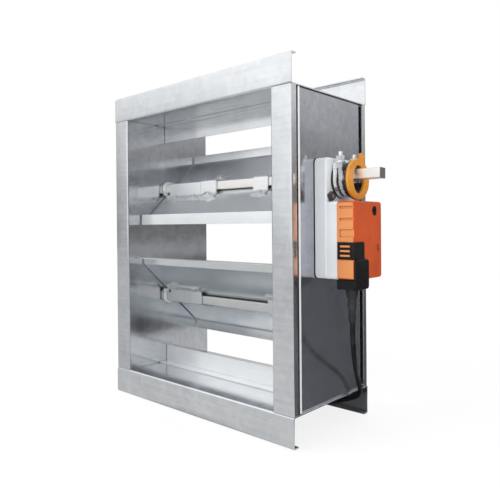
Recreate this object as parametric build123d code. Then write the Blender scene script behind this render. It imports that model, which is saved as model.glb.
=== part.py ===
from build123d import *
import math
import os

# Motorised opposed-blade volume control damper for a rectangular duct, in millimetres.
# +X points to the actuator side, +Y along the air flow, +Z up. The origin is on the floor under
# the middle of the casing. Two blades turn about axes along X; both stand half open here.

# ---- casing ----
CLEAR_WIDTH = 228.0        # duct opening, across
CLEAR_HEIGHT = 305.0       # duct opening, up
DEPTH = 132.0              # front flange face to rear flange face
JAMB = 25.0                # depth of each side frame, across
FLANGE = 30.0              # height of the top and bottom flanges
LIP = 7.5                  # stiffening return on every flange
SHEET = 1.2                # casing steel
FOLD = 2.0                 # outside radius of the casing folds
TAB_REACH = 19.0           # tabs that fix the side frames to the top and bottom
TAB_HALF = 45.0
RIVET_R = 2.0
RIVET_HEAD = 1.2

# ---- blade stops ----
STOP_HEIGHT = 21.5
STOP_FOOT = 13.6
STOP_GAP = 0.5             # between a stop and the lip of a closed blade

# ---- shafts, blades and what holds them together ----
SHAFT = 10.0               # square bar, across the flats
SHAFT_EDGE = 1.0
SQUARE_FIT = 0.05          # clearance on each flat of a square bore
PIVOT_Y = -2.5             # the blade axes lie just ahead of mid depth
PIVOT_RISE = 2.0           # and the pair sits just above mid height
REST_ANGLE = 47.0          # blades turned from closed in the rest pose
BLADE_SHEET = 1.0
BLADE_FOLD = 0.8           # outside radius of the folds of blades and straps
BLADE_GAP = 2.4            # blade end to duct wall
WING_SET = 3.5             # blade wing's front face behind the shaft axis
OUTER_LIP = 7.3            # outer lip, measured square to the wing
UPPER_REACHES = (57.0, 46.0)   # shaft axis to the outer and the inner fold of each blade
UPPER_NOSE = (9.3, 8.7)
LOWER_REACHES = (61.0, 59.5)
LOWER_NOSE = (5.6, 7.4)
STRAP_SHEET = 1.5
STRAP_FOOT = 7.5
LEFT_STRAP = 57.5          # length of the long strap at the end away from the actuator
LEFT_STRAP_INSET = 9.1     # blade end to the long strap
RIGHT_STRAP = 21.0
UPPER_RIGHT_STRAP_X = 51.5
LOWER_RIGHT_STRAP_X = 71.5
STRAP_RIVET_R = 1.6
STRAP_RIVET_HEAD = 1.0
SADDLE_SHEET = 2.5
SADDLE_LENGTH = 26.0
SADDLE_X = -30.5
SADDLE_SCREW_R = 2.0
HEXAGON = 7.0              # across the flats of the saddle's screws and nuts
HEXAGON_HEAD = 2.8
HEXAGON_NUT = 3.0
SCREW_TAIL = 4.5           # screw end beyond the blade

# ---- bushes ----
BUSH_R = 8.2
BUSH_FLANGE_R = 10.0
BUSH_FLANGE = 1.6
BUSH_SNAP = 0.7            # how far the snap hooks stand out
BUSH_HOOK = 1.6            # their length
BUSH_KEY = 2.0             # half width and reach of the key on the flange
BUSH_SLIT = 1.2            # half width of the slits between the hooks
RUN = 0.08                 # radial clearance of everything that turns
SIDE_PLAY = 0.3            # end clearance of everything that turns

# ---- gear train in the right side frame ----
MODULE = 2.0
TEETH = 23
PRESSURE = math.radians(20.0)
BACKLASH = 0.5             # each tooth is this much thinner than half the pitch
GEAR_WIDTH = 8.0
GEAR_START = 3.4           # web of the side frame to the gear's face
HUB_R = 10.0
HUB_REAR = 1.0             # hub beyond the gear's rear and front faces
HUB_FRONT = 2.0
AXLE_R = 5.0
COLLAR_R = 8.0             # collar of an axle, against the duct wall
COLLAR = 1.8
AXLE_TAIL = 2.6            # axle end beyond the gear's hub
CLIP = 1.0                 # thickness of an axle clip
CLIP_RIM = 2.5
CLIP_SEAT = 0.8            # depth of the groove for an axle clip

# ---- cover of the right side frame ----
COVER_SHEET = 1.2
COVER_FOLD = 2.5
COVER_INSET = 2.0          # below the plane of the side frame's lips
COVER_FRONT = 9.4          # front flange face to the cover
COVER_REAR = 9.8           # cover to the rear flange face

# ---- actuator ----
BASE_HALF = 26.0           # half width of the grey housing, along Y
BASE_BELOW = 99.2          # shaft axis to the housing's lower end
BASE_ABOVE = 16.6          # shaft axis to its upper end
SLAB = 13.5                # thickness of the housing behind the clamp
SEAM = 25.5                # thickness to the seam with the orange cover
CAP_TOP = 25.7             # shaft axis down to the top of the orange cover
CAP = 17.9                 # thickness of the orange cover
WALL = 2.0
BASE_CORNER = 5.0
BASE_EDGE = 1.2
BASE_STEP = 0.6            # deeper part of the housing inside its slab, and inside the cover
CAP_CORNER = 3.5
CAP_EDGE = 1.5
NOTCHES = ((6.0, 2.0), (17.0, 2.0), (30.0, 7.0))   # drop below the cover's top, and height
NOTCH_DEEP = 0.9
NOTCH_START = 3.0
BUTTON = (19.4, 34.8)      # ends of the release button above the housing's lower end
BUTTON_GAP = 0.3
BUTTON_SKIN = 1.2          # how far the button stands out of the cover
BUTTON_REACH = (12.5, 16.6)    # depth of the button's body and of its cheek
GRIP = (10.4, 1.8, 0.7)    # grip bar: length, height and how far it stands out
GRIP_STEP = 4.3
DIAL_R = 4.4
DIAL_LIP = 1.5
DIAL_AT = (12.5, 9.0)      # behind the shaft axis, below the cover's top
DIAL_SLOT = (1.6, 6.5, 1.3)
PLUG = (2.6, 6.4)
PLUG_EASE = 0.35
PLUG_LIP = 1.0
PLUG_AT = (18.8, 29.0)     # behind the shaft axis, above the housing's lower end
PANEL_MARK = (5.5, 5.0, 0.4)   # shallow bare recess in the cover's face
PANEL_MARK_AT = (2.25, 36.5)
PLATE = (23.6, 27.9)       # black plate of the cable entry, on the cover's face
PLATE_THICK = 2.2
PLATE_CORNER = 3.5
PLATE_EDGE = 0.7
ENTRY_DROP = 8.8           # cable entry below the housing
ENTRY_DEPTH = 26.0
ENTRY_SET = 0.2            # its front behind the cover's
GLAND_AT = 11.5            # gland's middle behind the cover's front face
GLAND_COLLAR = (6.0, 5.0)  # radius and length of each stage
GLAND_WAIST = (5.2, 8.0)
GLAND_SLEEVE = (4.2, 19.0)
GLAND_RIBS = 5
GLAND_PITCH = 2.2
GLAND_CORE_R = 3.3
GLAND_RIB_R = 3.9
MOTOR = (11.5, 17.0)       # radius and length
MOTOR_SPINDLE = (3.0, 2.5)
MOTOR_AT = (8.0, 38.0)     # behind the shaft axis, above the housing's lower end
BOARD = 30.0
BOARD_THICK = 1.6
BOARD_POST = (2.0, 3.4)    # radius and length
BOARD_INSET = 4.0
BOARD_AT = (7.0, 47.0)
END_STOP = (7.0, 4.0)      # width across and thickness
END_STOP_EYE = 4.2
END_STOP_DEEP = 1.2
END_STOP_TURN = 30.0
END_STOP_AT = (19.5, 20.5) # ahead of the shaft axis and below it
BRACKET = (21.0, 20.0)     # anti-rotation bracket, across and up
BRACKET_SHEET = 1.5
BRACKET_FIT = 0.3
SCREW_R = 2.0
SCREW_HEAD_R = 3.6
SCREW_HEAD = 2.0

# ---- shaft clamp, all measured from the clamp's back ----
JOURNAL_R = 12.5
CAGE_R = 17.5
CAGE_DROP = 4.5            # the clamp's cage hangs this far below the shaft axis
CORE_R = 15.3              # black core that the two steel bands sit on
CORE_WALL = 2.8
BACK_PLATE = 1.4
BAND_STARTS = (2.2, 8.4)
BAND = 3.2                 # width of each steel band
BAND_SHEET = 2.0
CARRIER = 16.0             # back of the clamp to the ring's carrier
CARRIER_THICK = 1.8
CARRIER_EDGE = 0.4         # carrier inside the ring's rim
PILLAR = (3.0, 4.0)        # radius and length of the carrier's two pillars
PILLAR_AT = (13.0, 6.5)
CLAMP_MIDDLE = 7.0         # back of the clamp to the middle of the U-bolt
BOLT_WIRE = 2.5
BOLT_HALF = 12.5
BOLT_TOP = 21.6
JAW_HEIGHT = 6.0
JAW_WIDTH = 10.0
JAW_TOOTH = 1.2
JAW_PITCH = 2.0
NUT = (4.0, 5.0)           # half of the width across the flats, height
NUT_FLANGE = (4.8, 1.5)
RING_R = 19.9
RING_THICK = 2.3
RING_EDGE = 0.6
RING_HOLE = (9.8, 13.6)    # half width and half height
POINTER = (2.4, 9.9)       # sides of the ring's pointer tab, behind the shaft axis
POINTER_RISE = 5.5
SHAFT_TIP = 196.0

# ---- cable ----
CABLE_R = 2.5

# ---- worked out from the sizes above ----
HALF = CLEAR_WIDTH / 2
SIDE = HALF + JAMB
FRONT = -DEPTH / 2
REAR = DEPTH / 2
SILL = FLANGE
HEAD = FLANGE + CLEAR_HEIGHT
MIDDLE = FLANGE + CLEAR_HEIGHT / 2
PITCH_R = MODULE * TEETH / 2
AXIS_STEP = 2 * PITCH_R
UPPER_Z = MIDDLE + PIVOT_RISE + 1.5 * AXIS_STEP
LOWER_Z = UPPER_Z - 3 * AXIS_STEP
IDLER_ZS = (UPPER_Z - AXIS_STEP, UPPER_Z - 2 * AXIS_STEP)
WEB = HALF + SHEET
PANEL = SIDE - COVER_INSET
GEAR_X = WEB + GEAR_START
BLADE_HALF = HALF - BLADE_GAP
BUSH_FACE = HALF - SIDE_PLAY
CORNER = SHAFT / 2 * math.sqrt(2)
NEST = (SHAFT / 2 + SQUARE_FIT) * math.sqrt(2)
OUTER_TIP_Y = WING_SET - OUTER_LIP
OFF_SQUARE = REST_ANGLE - 45   # turn of the upper shaft's flats from level in the rest pose
LEFT_STRAP_X = LEFT_STRAP_INSET + LEFT_STRAP / 2 - BLADE_HALF
UPPER_STRAPS = ((LEFT_STRAP_X, LEFT_STRAP), (UPPER_RIGHT_STRAP_X, RIGHT_STRAP))
LOWER_STRAPS = ((LEFT_STRAP_X, LEFT_STRAP), (LOWER_RIGHT_STRAP_X, RIGHT_STRAP))
SLAB_X = PANEL + SLAB
SEAM_X = PANEL + SEAM
CAP_X = SEAM_X + CAP
BASE_LOW = UPPER_Z - BASE_BELOW
BASE_HIGH = UPPER_Z + BASE_ABOVE
CAP_HIGH = UPPER_Z - CAP_TOP


def save(shape, node):
    """Write one named sub-part."""
    export_step(shape, f"parts/{node}.step")


def group(solids):
    """Separate solids that share one node."""
    return Compound(children=[solid for solid in solids])


def block(x, y, z):
    """Box from three (low, high) pairs."""
    size = Box(x[1] - x[0], y[1] - y[0], z[1] - z[0])
    return Pos((x[0] + x[1]) / 2, (y[0] + y[1]) / 2, (z[0] + z[1]) / 2) * size


def rod_x(radius, x, y, z):
    """Round bar along X between the pair x."""
    return Pos((x[0] + x[1]) / 2, y, z) * Rot(Y=90) * Cylinder(radius, x[1] - x[0])


def rod_y(radius, x, y, z):
    """Round bar along Y between the pair y."""
    return Pos(x, (y[0] + y[1]) / 2, z) * Rot(X=90) * Cylinder(radius, y[1] - y[0])


def rod_z(radius, x, y, z):
    """Round bar along Z between the pair z."""
    return Pos(x, y, (z[0] + z[1]) / 2) * Cylinder(radius, z[1] - z[0])


def folded(points, radius, thickness, side):
    """Section of a folded sheet: points run along one skin, the sheet lies on the given side."""
    skin = FilletPolyline(*points, radius=radius)
    return make_face(offset(skin, amount=thickness, side=side).edges())


def slice_x(section, x):
    """Section drawn as (Y, Z), extruded between the pair x."""
    return Pos(x[0], 0, 0) * extrude(Plane.YZ * section, amount=x[1] - x[0])


# ---------------------------------------------------------------- casing

def side_channel():
    """Side frame at +X: duct wall, front and rear flanges, return lips and end tabs."""
    skin = [
        (SIDE, FRONT + LIP), (SIDE, FRONT), (HALF, FRONT),
        (HALF, REAR), (SIDE, REAR), (SIDE, REAR - LIP),
    ]
    section = folded(skin, FOLD, SHEET, Side.RIGHT)
    channel = Pos(0, 0, SILL) * extrude(section, amount=CLEAR_HEIGHT)
    for low in (SILL, HEAD - SHEET):
        channel += block((HALF + SHEET / 2, WEB + TAB_REACH), (-TAB_HALF, TAB_HALF), (low, low + SHEET))
    for x, y in tab_rivet_places():
        channel -= rod_z(RIVET_R, x, y, (SILL - 1, HEAD + 1))
    for z in (UPPER_Z, LOWER_Z):
        channel -= rod_x(BUSH_R + RUN, (HALF - 1, WEB + 1), PIVOT_Y, z)
    return channel


def tab_rivet_places():
    """X and Y of the rivets at one end of a side frame."""
    x = WEB + 0.55 * TAB_REACH
    return [(x, -0.7 * TAB_HALF), (x, 0.7 * TAB_HALF)]


def cross_channel():
    """Bottom member across the full width: sill, flanges hanging down and return lips."""
    skin = [
        (FRONT + LIP, 0), (FRONT, 0), (FRONT, FLANGE),
        (REAR, FLANGE), (REAR, 0), (REAR - LIP, 0),
    ]
    channel = slice_x(folded(skin, FOLD, SHEET, Side.RIGHT), (-SIDE, SIDE))
    for x, y in tab_rivet_places():
        for across in (-x, x):
            channel -= rod_z(RIVET_R, across, y, (FLANGE - 2 * SHEET, FLANGE + 1))
    return channel


def casing_rivet(x, y, z, inward):
    """Rivet through a tab and the cross member; inward is +1 where the head lies above the tab."""
    seat = z + inward * SHEET
    shank = sorted((seat, z - inward * (SHEET + RIVET_HEAD)))
    head = sorted((seat, seat + inward * RIVET_HEAD))
    return rod_z(RIVET_R, x, y, shank) + rod_z(2 * RIVET_R, x, y, head)


def casing_rivets():
    rivets = []
    for x, y in tab_rivet_places():
        for across in (-x, x):
            rivets.append(casing_rivet(across, y, SILL, 1))
            rivets.append(casing_rivet(across, y, HEAD, -1))
    return group(rivets)


def blade_stop():
    """Angle on the sill: a closed blade's lip comes up behind its upright."""
    rear = PIVOT_Y + OUTER_TIP_Y - STOP_GAP
    skin = [(rear - STOP_FOOT, SILL), (rear, SILL), (rear, SILL + STOP_HEIGHT)]
    return slice_x(folded(skin, FOLD, SHEET, Side.LEFT), (-HALF + SIDE_PLAY, HALF - SIDE_PLAY))


def over_middle(shape):
    """The same shape turned over to the other end of the duct opening."""
    return mirror(shape, about=Plane.XY.offset(MIDDLE))


def jamb_cover():
    """Tray that closes the right side frame over the gears; its edges stand on the duct wall."""
    front = FRONT + COVER_FRONT
    rear = REAR - COVER_REAR
    skin = [(WEB, front), (PANEL, front), (PANEL, rear), (WEB, rear)]
    section = folded(skin, COVER_FOLD, COVER_SHEET, Side.LEFT)
    cover = Pos(0, 0, SILL + SIDE_PLAY) * extrude(section, amount=CLEAR_HEIGHT - 2 * SIDE_PLAY)
    for radius, z in ((BUSH_R + RUN, UPPER_Z), (SCREW_R, BASE_LOW + BRACKET[1] / 2)):
        cover -= rod_x(radius, (PANEL - 2 * COVER_SHEET, PANEL + 1), PIVOT_Y, z)
    return cover


# ---------------------------------------------------------------- bushes, shafts and blades

def square_bore(x):
    """Square hole of a piece that a shaft drives, corner towards the blade."""
    side = SHAFT + 2 * SQUARE_FIT
    return Pos((x[0] + x[1]) / 2, 0, 0) * Rot(X=45) * Box(x[1] - x[0] + 2, side, side)


def bush(wall_start, wall):
    """Flanged bush that snaps into a sheet from its -X side, about the X axis."""
    hooks = wall_start + wall + SIDE_PLAY
    end = hooks + BUSH_HOOK
    face = wall_start - SIDE_PLAY
    turned = rod_x(BUSH_FLANGE_R, (face - BUSH_FLANGE, face), 0, 0) + rod_x(BUSH_R, (face, end), 0, 0)
    hook = rod_x(BUSH_R + BUSH_SNAP, (hooks, end), 0, 0)
    turned += chamfer(hook.edges().sort_by(Axis.X)[-1], 0.6)
    turned += block((face - BUSH_FLANGE, face), (-BUSH_KEY, BUSH_KEY),
                    (BUSH_FLANGE_R - 1, BUSH_FLANGE_R + BUSH_KEY))
    for angle in (0, 90):
        turned -= Rot(X=angle) * block((hooks - 0.2, end + 1), (-BUSH_SLIT, BUSH_SLIT),
                                       (-BUSH_FLANGE_R, BUSH_FLANGE_R))
    return turned - square_bore((face - BUSH_FLANGE, end))


def other_side(shape):
    """The same shape at the other side of the duct."""
    return mirror(shape, about=Plane.YZ)


def shaft(x):
    """Square bar with eased edges, corner forward."""
    bar = Pos((x[0] + x[1]) / 2, 0, 0) * Rot(X=45) * Box(x[1] - x[0], SHAFT, SHAFT)
    return fillet(bar.edges().filter_by(Axis.X), SHAFT_EDGE)


def blade_skin(reaches, nose, toward):
    """Front skin of a closed blade as (Y, Z) from its outer lip to its inner edge.
    toward is -1 for an inner edge that folds forward first and +1 for one that folds back."""
    outer, reach = reaches
    first, second = nose
    return [
        (OUTER_TIP_Y, outer + OUTER_LIP),
        (WING_SET, outer),
        (WING_SET, NEST - WING_SET),
        (NEST, 0),
        (WING_SET, WING_SET - NEST),
        (WING_SET, -reach),
        (WING_SET + toward * first, -reach - first),
        (WING_SET + toward * (first - second), -reach - first - second),
    ]


def blade(skin, straps, saddle):
    """Folded blade, closed, with its shaft groove and rivet holes."""
    plate = slice_x(folded(skin, BLADE_FOLD, BLADE_SHEET, Side.LEFT), (-BLADE_HALF, BLADE_HALF))
    for x, z in rivet_places(straps):
        plate -= rod_y(STRAP_RIVET_R, x, (WING_SET - 1, WING_SET + 3), z)
    if saddle:
        for z in saddle_screw_zs():
            plate -= rod_y(SADDLE_SCREW_R, SADDLE_X, (WING_SET - 1, WING_SET + 3), z)
    return plate


def strap_section(thickness):
    """Hat over the shaft: a right-angled ridge with two feet on the blade's wings."""
    crest = NEST
    knee = WING_SET + crest
    skin = [
        (WING_SET, knee + STRAP_FOOT), (WING_SET, knee), (-crest, 0),
        (WING_SET, -knee), (WING_SET, -knee - STRAP_FOOT),
    ]
    return folded(skin, BLADE_FOLD, thickness, Side.RIGHT)


def rivet_places(straps):
    """X and Z of the rivets of each strap, on a closed blade: one a foot, or two on a long strap."""
    foot = WING_SET + NEST + 0.55 * STRAP_FOOT
    places = []
    for x, length in straps:
        steps = (-0.3, 0.3) if length > 2 * RIGHT_STRAP else (0,)
        places += [(x + step * length, z) for step in steps for z in (-foot, foot)]
    return places


def strap(place):
    """Hat strap; place is its middle along X and its length."""
    x, length = place
    body = slice_x(strap_section(STRAP_SHEET), (x - length / 2, x + length / 2))
    for across, z in rivet_places([place]):
        body -= rod_y(STRAP_RIVET_R, across, (WING_SET - 4, WING_SET + 1), z)
    return body


def strap_rivets(straps):
    """Rivets through strap feet and blade."""
    front = WING_SET - STRAP_SHEET
    rear = WING_SET + BLADE_SHEET
    rivets = []
    for x, z in rivet_places(straps):
        rivet = rod_y(STRAP_RIVET_R, x, (front, rear + STRAP_RIVET_HEAD), z)
        rivets.append(rivet + rod_y(2 * STRAP_RIVET_R, x, (front - STRAP_RIVET_HEAD, front), z))
    return group(rivets)


def saddle_screw_zs():
    foot = WING_SET + NEST + 0.6 * STRAP_FOOT
    return (-foot, foot)


def shaft_saddle():
    """Heavier hat that locks the shaft to the upper blade."""
    half = SADDLE_LENGTH / 2
    body = slice_x(strap_section(SADDLE_SHEET), (SADDLE_X - half, SADDLE_X + half))
    for z in saddle_screw_zs():
        body -= rod_y(SADDLE_SCREW_R, SADDLE_X, (WING_SET - 5, WING_SET + 1), z)
    return body


def hexagon_y(across_flats, x, y, z):
    """Hexagon head or nut along Y between the pair y."""
    outline = RegularPolygon(across_flats / 2, 6, major_radius=False)
    return Pos(x, y[1], z) * extrude(Plane.XZ * outline, amount=y[1] - y[0])


def saddle_screws():
    """Hexagon screws through the saddle's feet, with nuts behind the blade."""
    front = WING_SET - SADDLE_SHEET
    rear = WING_SET + BLADE_SHEET
    screws = []
    for z in saddle_screw_zs():
        screw = rod_y(SADDLE_SCREW_R, SADDLE_X, (front, rear + SCREW_TAIL), z)
        screw += hexagon_y(HEXAGON, SADDLE_X, (front - HEXAGON_HEAD, front), z)
        screws.append(screw + hexagon_y(HEXAGON, SADDLE_X, (rear, rear + HEXAGON_NUT), z))
    return group(screws)


def on_upper(shape):
    """A closed-blade shape about the X axis, put on the upper shaft in the rest pose."""
    return Pos(0, PIVOT_Y, UPPER_Z) * Rot(X=-REST_ANGLE) * shape


def on_lower(shape):
    """The same on the lower shaft, which turns the other way."""
    return Pos(0, PIVOT_Y, LOWER_Z) * Rot(X=REST_ANGLE) * shape


# ---------------------------------------------------------------- gear train

def polar(radius, angle):
    return (radius * math.cos(angle), radius * math.sin(angle))


def half_tooth(radius):
    """Half the angle of an involute tooth at a radius."""
    base = PITCH_R * math.cos(PRESSURE)
    slope = math.acos(min(1.0, base / radius))
    thickness = math.pi * MODULE / 2 - BACKLASH
    at_pitch = thickness / (2 * PITCH_R) + math.tan(PRESSURE) - PRESSURE
    return at_pitch - (math.tan(slope) - slope)


def gear_outline():
    """Involute spur gear as (Y, Z), with one tooth pointing straight down."""
    base = PITCH_R * math.cos(PRESSURE)
    root = PITCH_R - 1.25 * MODULE
    tip = PITCH_R + MODULE
    step = 2 * math.pi / TEETH
    wide, narrow = half_tooth(base), half_tooth(tip)
    edges = []
    for tooth in range(TEETH):
        centre = tooth * step - math.pi / 2
        for side in (-1, 1):
            edges.append(Line(polar(root, centre + side * wide), polar(base, centre + side * wide)))
            edges.append(ThreePointArc(
                polar(base, centre + side * wide),
                polar(PITCH_R, centre + side * half_tooth(PITCH_R)),
                polar(tip, centre + side * narrow),
            ))
        edges.append(Line(polar(tip, centre - narrow), polar(tip, centre + narrow)))
        edges.append(Line(polar(root, centre + wide), polar(root, centre + step - wide)))
    return make_face(edges)


def gear():
    """Gear with a hub on each face, about the X axis, without its bore."""
    face = (GEAR_X, GEAR_X + GEAR_WIDTH)
    wheel = slice_x(gear_outline(), face)
    return wheel + rod_x(HUB_R, (face[0] - HUB_REAR, face[1] + HUB_FRONT), 0, 0)


def driven_gear():
    """Gear fixed on a square shaft."""
    span = (GEAR_X - HUB_REAR, GEAR_X + GEAR_WIDTH + HUB_FRONT)
    return gear() - Rot(X=45) * square_bore(span)


def idler_gear():
    """Gear that runs on a fixed axle."""
    span = (GEAR_X - HUB_REAR - 1, GEAR_X + GEAR_WIDTH + HUB_FRONT + 1)
    return gear() - rod_x(AXLE_R + RUN, span, 0, 0)


def idler_axle():
    """Stepped axle riveted into the duct wall, with a groove for its clip."""
    end = GEAR_X + GEAR_WIDTH + HUB_FRONT + SIDE_PLAY
    axle = rod_x(AXLE_R - 1, (HALF, WEB), 0, 0) + rod_x(COLLAR_R, (WEB, WEB + COLLAR), 0, 0)
    axle += rod_x(AXLE_R, (WEB + COLLAR, end + AXLE_TAIL), 0, 0)
    span = (end, end + CLIP + 0.2)
    return axle - (rod_x(AXLE_R + 1, span, 0, 0) - rod_x(AXLE_R - CLIP_SEAT, span, 0, 0))


def axle_clip(radius):
    """E-clip for a groove, about the X axis, set just beyond a gear's hub."""
    end = GEAR_X + GEAR_WIDTH + HUB_FRONT + SIDE_PLAY
    span = (end + 0.1, end + 0.1 + CLIP)
    clip = rod_x(radius + CLIP_RIM, span, 0, 0) - rod_x(radius - CLIP_SEAT + RUN, span, 0, 0)
    return clip - block((span[0] - 1, span[1] + 1), (-radius * 0.6, radius * 0.6), (0, radius + 4))


# ---------------------------------------------------------------- actuator

def plate_outline(half, low, high, radius):
    """Rounded rectangle as (Y, Z) about the shaft's Y."""
    outline = RectangleRounded(2 * half, high - low, radius)
    return Pos(PIVOT_Y, (low + high) / 2) * outline


def actuator_base():
    """Grey housing: a slab behind the clamp and a deeper lower part up to the seam."""
    body = slice_x(plate_outline(BASE_HALF, BASE_LOW, BASE_HIGH, BASE_CORNER), (PANEL, SLAB_X))
    body = fillet(body.faces().sort_by(Axis.X)[-1].edges(), BASE_EDGE)
    deep = plate_outline(BASE_HALF - BASE_STEP, BASE_LOW, CAP_HIGH, BASE_CORNER - 1)
    body += slice_x(deep, (SLAB_X - WALL, SEAM_X))
    inner = BASE_HALF - WALL - BASE_STEP
    room = plate_outline(inner, BASE_LOW + WALL, CAP_HIGH - WALL, 3)
    body -= slice_x(room, (PANEL + WALL, SEAM_X + 1))
    room = plate_outline(inner, CAP_HIGH - 3 * WALL, BASE_HIGH - WALL, 3)
    body -= slice_x(room, (PANEL + WALL, SLAB_X - WALL))
    body -= rod_x(JOURNAL_R + RUN, (PANEL - 1, SLAB_X + 1), PIVOT_Y, UPPER_Z)
    across, up = BRACKET
    boss = bracket_room(across + 2 * WALL, up + WALL, 2 * WALL + BRACKET_SHEET + SCREW_HEAD, 1)
    recess = bracket_room(across + 2 * BRACKET_FIT, up + BRACKET_FIT, BRACKET_SHEET + BRACKET_FIT, -1)
    recess += bracket_room(2 * SCREW_HEAD_R + 2, up - WALL, BRACKET_SHEET + SCREW_HEAD + BRACKET_FIT, -1)
    return body + boss - recess


def bracket_room(across, up, deep, inset):
    """Block on the cover about the bracket's middle, from the housing's lower end up."""
    return block((PANEL + min(inset, 0.5), PANEL + deep), (PIVOT_Y - across / 2, PIVOT_Y + across / 2),
                 (BASE_LOW + inset, BASE_LOW + up))


def anti_rotation_bracket():
    """Strip on the cover that sits in the housing's recess and stops it turning."""
    across, up = BRACKET
    strip = block((PANEL, PANEL + BRACKET_SHEET), (PIVOT_Y - across / 2, PIVOT_Y + across / 2),
                  (BASE_LOW + BRACKET_FIT, BASE_LOW + up))
    return strip - rod_x(SCREW_R, (PANEL - 1, PANEL + 3), PIVOT_Y, BASE_LOW + up / 2)


def bracket_screw():
    """Pan-head screw through the bracket and the cover."""
    z = BASE_LOW + BRACKET[1] / 2
    seat = PANEL + BRACKET_SHEET
    screw = rod_x(SCREW_R, (PANEL - COVER_SHEET - 2, seat), PIVOT_Y, z)
    return screw + fillet(rod_x(SCREW_HEAD_R, (seat, seat + SCREW_HEAD), PIVOT_Y, z).edges()[-1], 0.8)


def actuator_cap():
    """Orange cover of the motor side, with finger notches along both narrow faces."""
    outline = plate_outline(BASE_HALF, BASE_LOW, CAP_HIGH, CAP_CORNER)
    body = slice_x(outline, (SEAM_X, CAP_X))
    body = fillet(body.faces().sort_by(Axis.X)[-1].edges(), CAP_EDGE)
    room = plate_outline(BASE_HALF - WALL, BASE_LOW + WALL, CAP_HIGH - WALL, 2)
    body -= slice_x(room, (SEAM_X - 1, CAP_X - WALL))
    for drop, tall in NOTCHES:
        for y in (PIVOT_Y - BASE_HALF, PIVOT_Y + BASE_HALF):
            z = CAP_HIGH - drop
            body -= block((SEAM_X + NOTCH_START, CAP_X + 1), (y - NOTCH_DEEP, y + NOTCH_DEEP),
                          (z - tall / 2, z + tall / 2))
    y, z = dial_place()
    body -= rod_x(DIAL_R + BUTTON_GAP, (CAP_X - WALL - 1, CAP_X + 1), y, z)
    body -= face_block(plug_place(), PLUG, (CAP_X - WALL - 1, CAP_X + 1))
    wide, tall, deep = PANEL_MARK
    place = (PIVOT_Y + PANEL_MARK_AT[0], CAP_HIGH - PANEL_MARK_AT[1])
    body -= face_block(place, (wide, tall), (CAP_X - deep, CAP_X + 1))
    low, high = button_span()
    front = PIVOT_Y - BASE_HALF
    return body - block((SEAM_X + BUTTON_GAP, CAP_X + 1), (front - 1, front + max(BUTTON_REACH) - BUTTON_GAP),
                        (low - BUTTON_GAP, high + BUTTON_GAP))


def face_block(place, size, x):
    """Block on the cover's face: middle (Y, Z) and size (wide, tall), between the pair x."""
    return block(x, (place[0] - size[0] / 2, place[0] + size[0] / 2),
                 (place[1] - size[1] / 2, place[1] + size[1] / 2))


def dial_place():
    """Y and Z of the direction switch."""
    return (PIVOT_Y + DIAL_AT[0], CAP_HIGH - DIAL_AT[1])


def plug_place():
    """Y and Z of the service plug."""
    return (PIVOT_Y + PLUG_AT[0], BASE_LOW + PLUG_AT[1])


def direction_switch():
    """Black dial with a screwdriver slot that sets the direction of rotation."""
    y, z = dial_place()
    front = CAP_X - BASE_STEP
    dial = rod_x(DIAL_R, (CAP_X - WALL, front), y, z)
    dial += rod_x(DIAL_R + DIAL_LIP, (CAP_X - WALL - DIAL_LIP, CAP_X - WALL), y, z)
    return dial - Pos(front, y, z) * Rot(X=30) * Box(*DIAL_SLOT)


def service_plug():
    """Black plug in the cover's slot, with a flange behind it."""
    wide, tall = PLUG
    stem = (wide - 2 * PLUG_EASE, tall - 2 * PLUG_EASE)
    back = (wide + 2 * PLUG_LIP, tall + 2 * PLUG_LIP)
    plug = face_block(plug_place(), stem, (CAP_X - WALL, CAP_X - PLUG_EASE))
    return plug + face_block(plug_place(), back, (CAP_X - WALL - DIAL_LIP, CAP_X - WALL))


def button_span():
    """Lower and upper Z of the release button."""
    return (BASE_LOW + BUTTON[0], BASE_LOW + BUTTON[1])


def button_front():
    """Y of the button's front face."""
    return PIVOT_Y - BASE_HALF - BUTTON_SKIN


def release_button():
    """Button in the cover's corner; its cheek laps over the outer face."""
    front = button_front()
    deep, cheek = BUTTON_REACH
    face = CAP_X + BUTTON_GAP
    start = SEAM_X + 2 * BUTTON_GAP
    body = block((start, face + BUTTON_SKIN), (front, front + BUTTON_SKIN + deep), button_span())
    body += block((face, face + BUTTON_SKIN), (front, front + BUTTON_SKIN + cheek), button_span())
    return fillet(body.edges().filter_by(Axis.Z).group_by(Axis.Y)[0], 0.8)


def button_ribs():
    """Three raised grip bars on the button's front."""
    low, high = button_span()
    wide, tall, proud = GRIP
    middle = (SEAM_X + CAP_X + BUTTON_SKIN) / 2
    ribs = []
    for step in (-1, 0, 1):
        z = (low + high) / 2 + GRIP_STEP * step
        ribs.append(block((middle - wide / 2, middle + wide / 2), (button_front() - proud, button_front()),
                          (z - tall / 2, z + tall / 2)))
    return group(ribs)


def connector_block():
    """Black cable entry under the cover, with a plate that laps its outer face."""
    front = PIVOT_Y - BASE_HALF + ENTRY_SET
    low = BASE_LOW - ENTRY_DROP
    lower = block((SEAM_X - BASE_STEP, CAP_X), (front, front + ENTRY_DEPTH), (low, BASE_LOW))
    wide, tall = PLATE
    outline = Pos(front + wide / 2, low + tall / 2) * RectangleRounded(wide, tall, PLATE_CORNER)
    plate = slice_x(outline, (CAP_X, CAP_X + PLATE_THICK))
    return lower + fillet(plate.faces().sort_by(Axis.X)[-1].edges(), PLATE_EDGE)


def gland_place():
    """X, Y and top Z of the cable gland."""
    return ((SEAM_X + CAP_X) / 2, PIVOT_Y - BASE_HALF + GLAND_AT, BASE_LOW - ENTRY_DROP)


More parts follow.
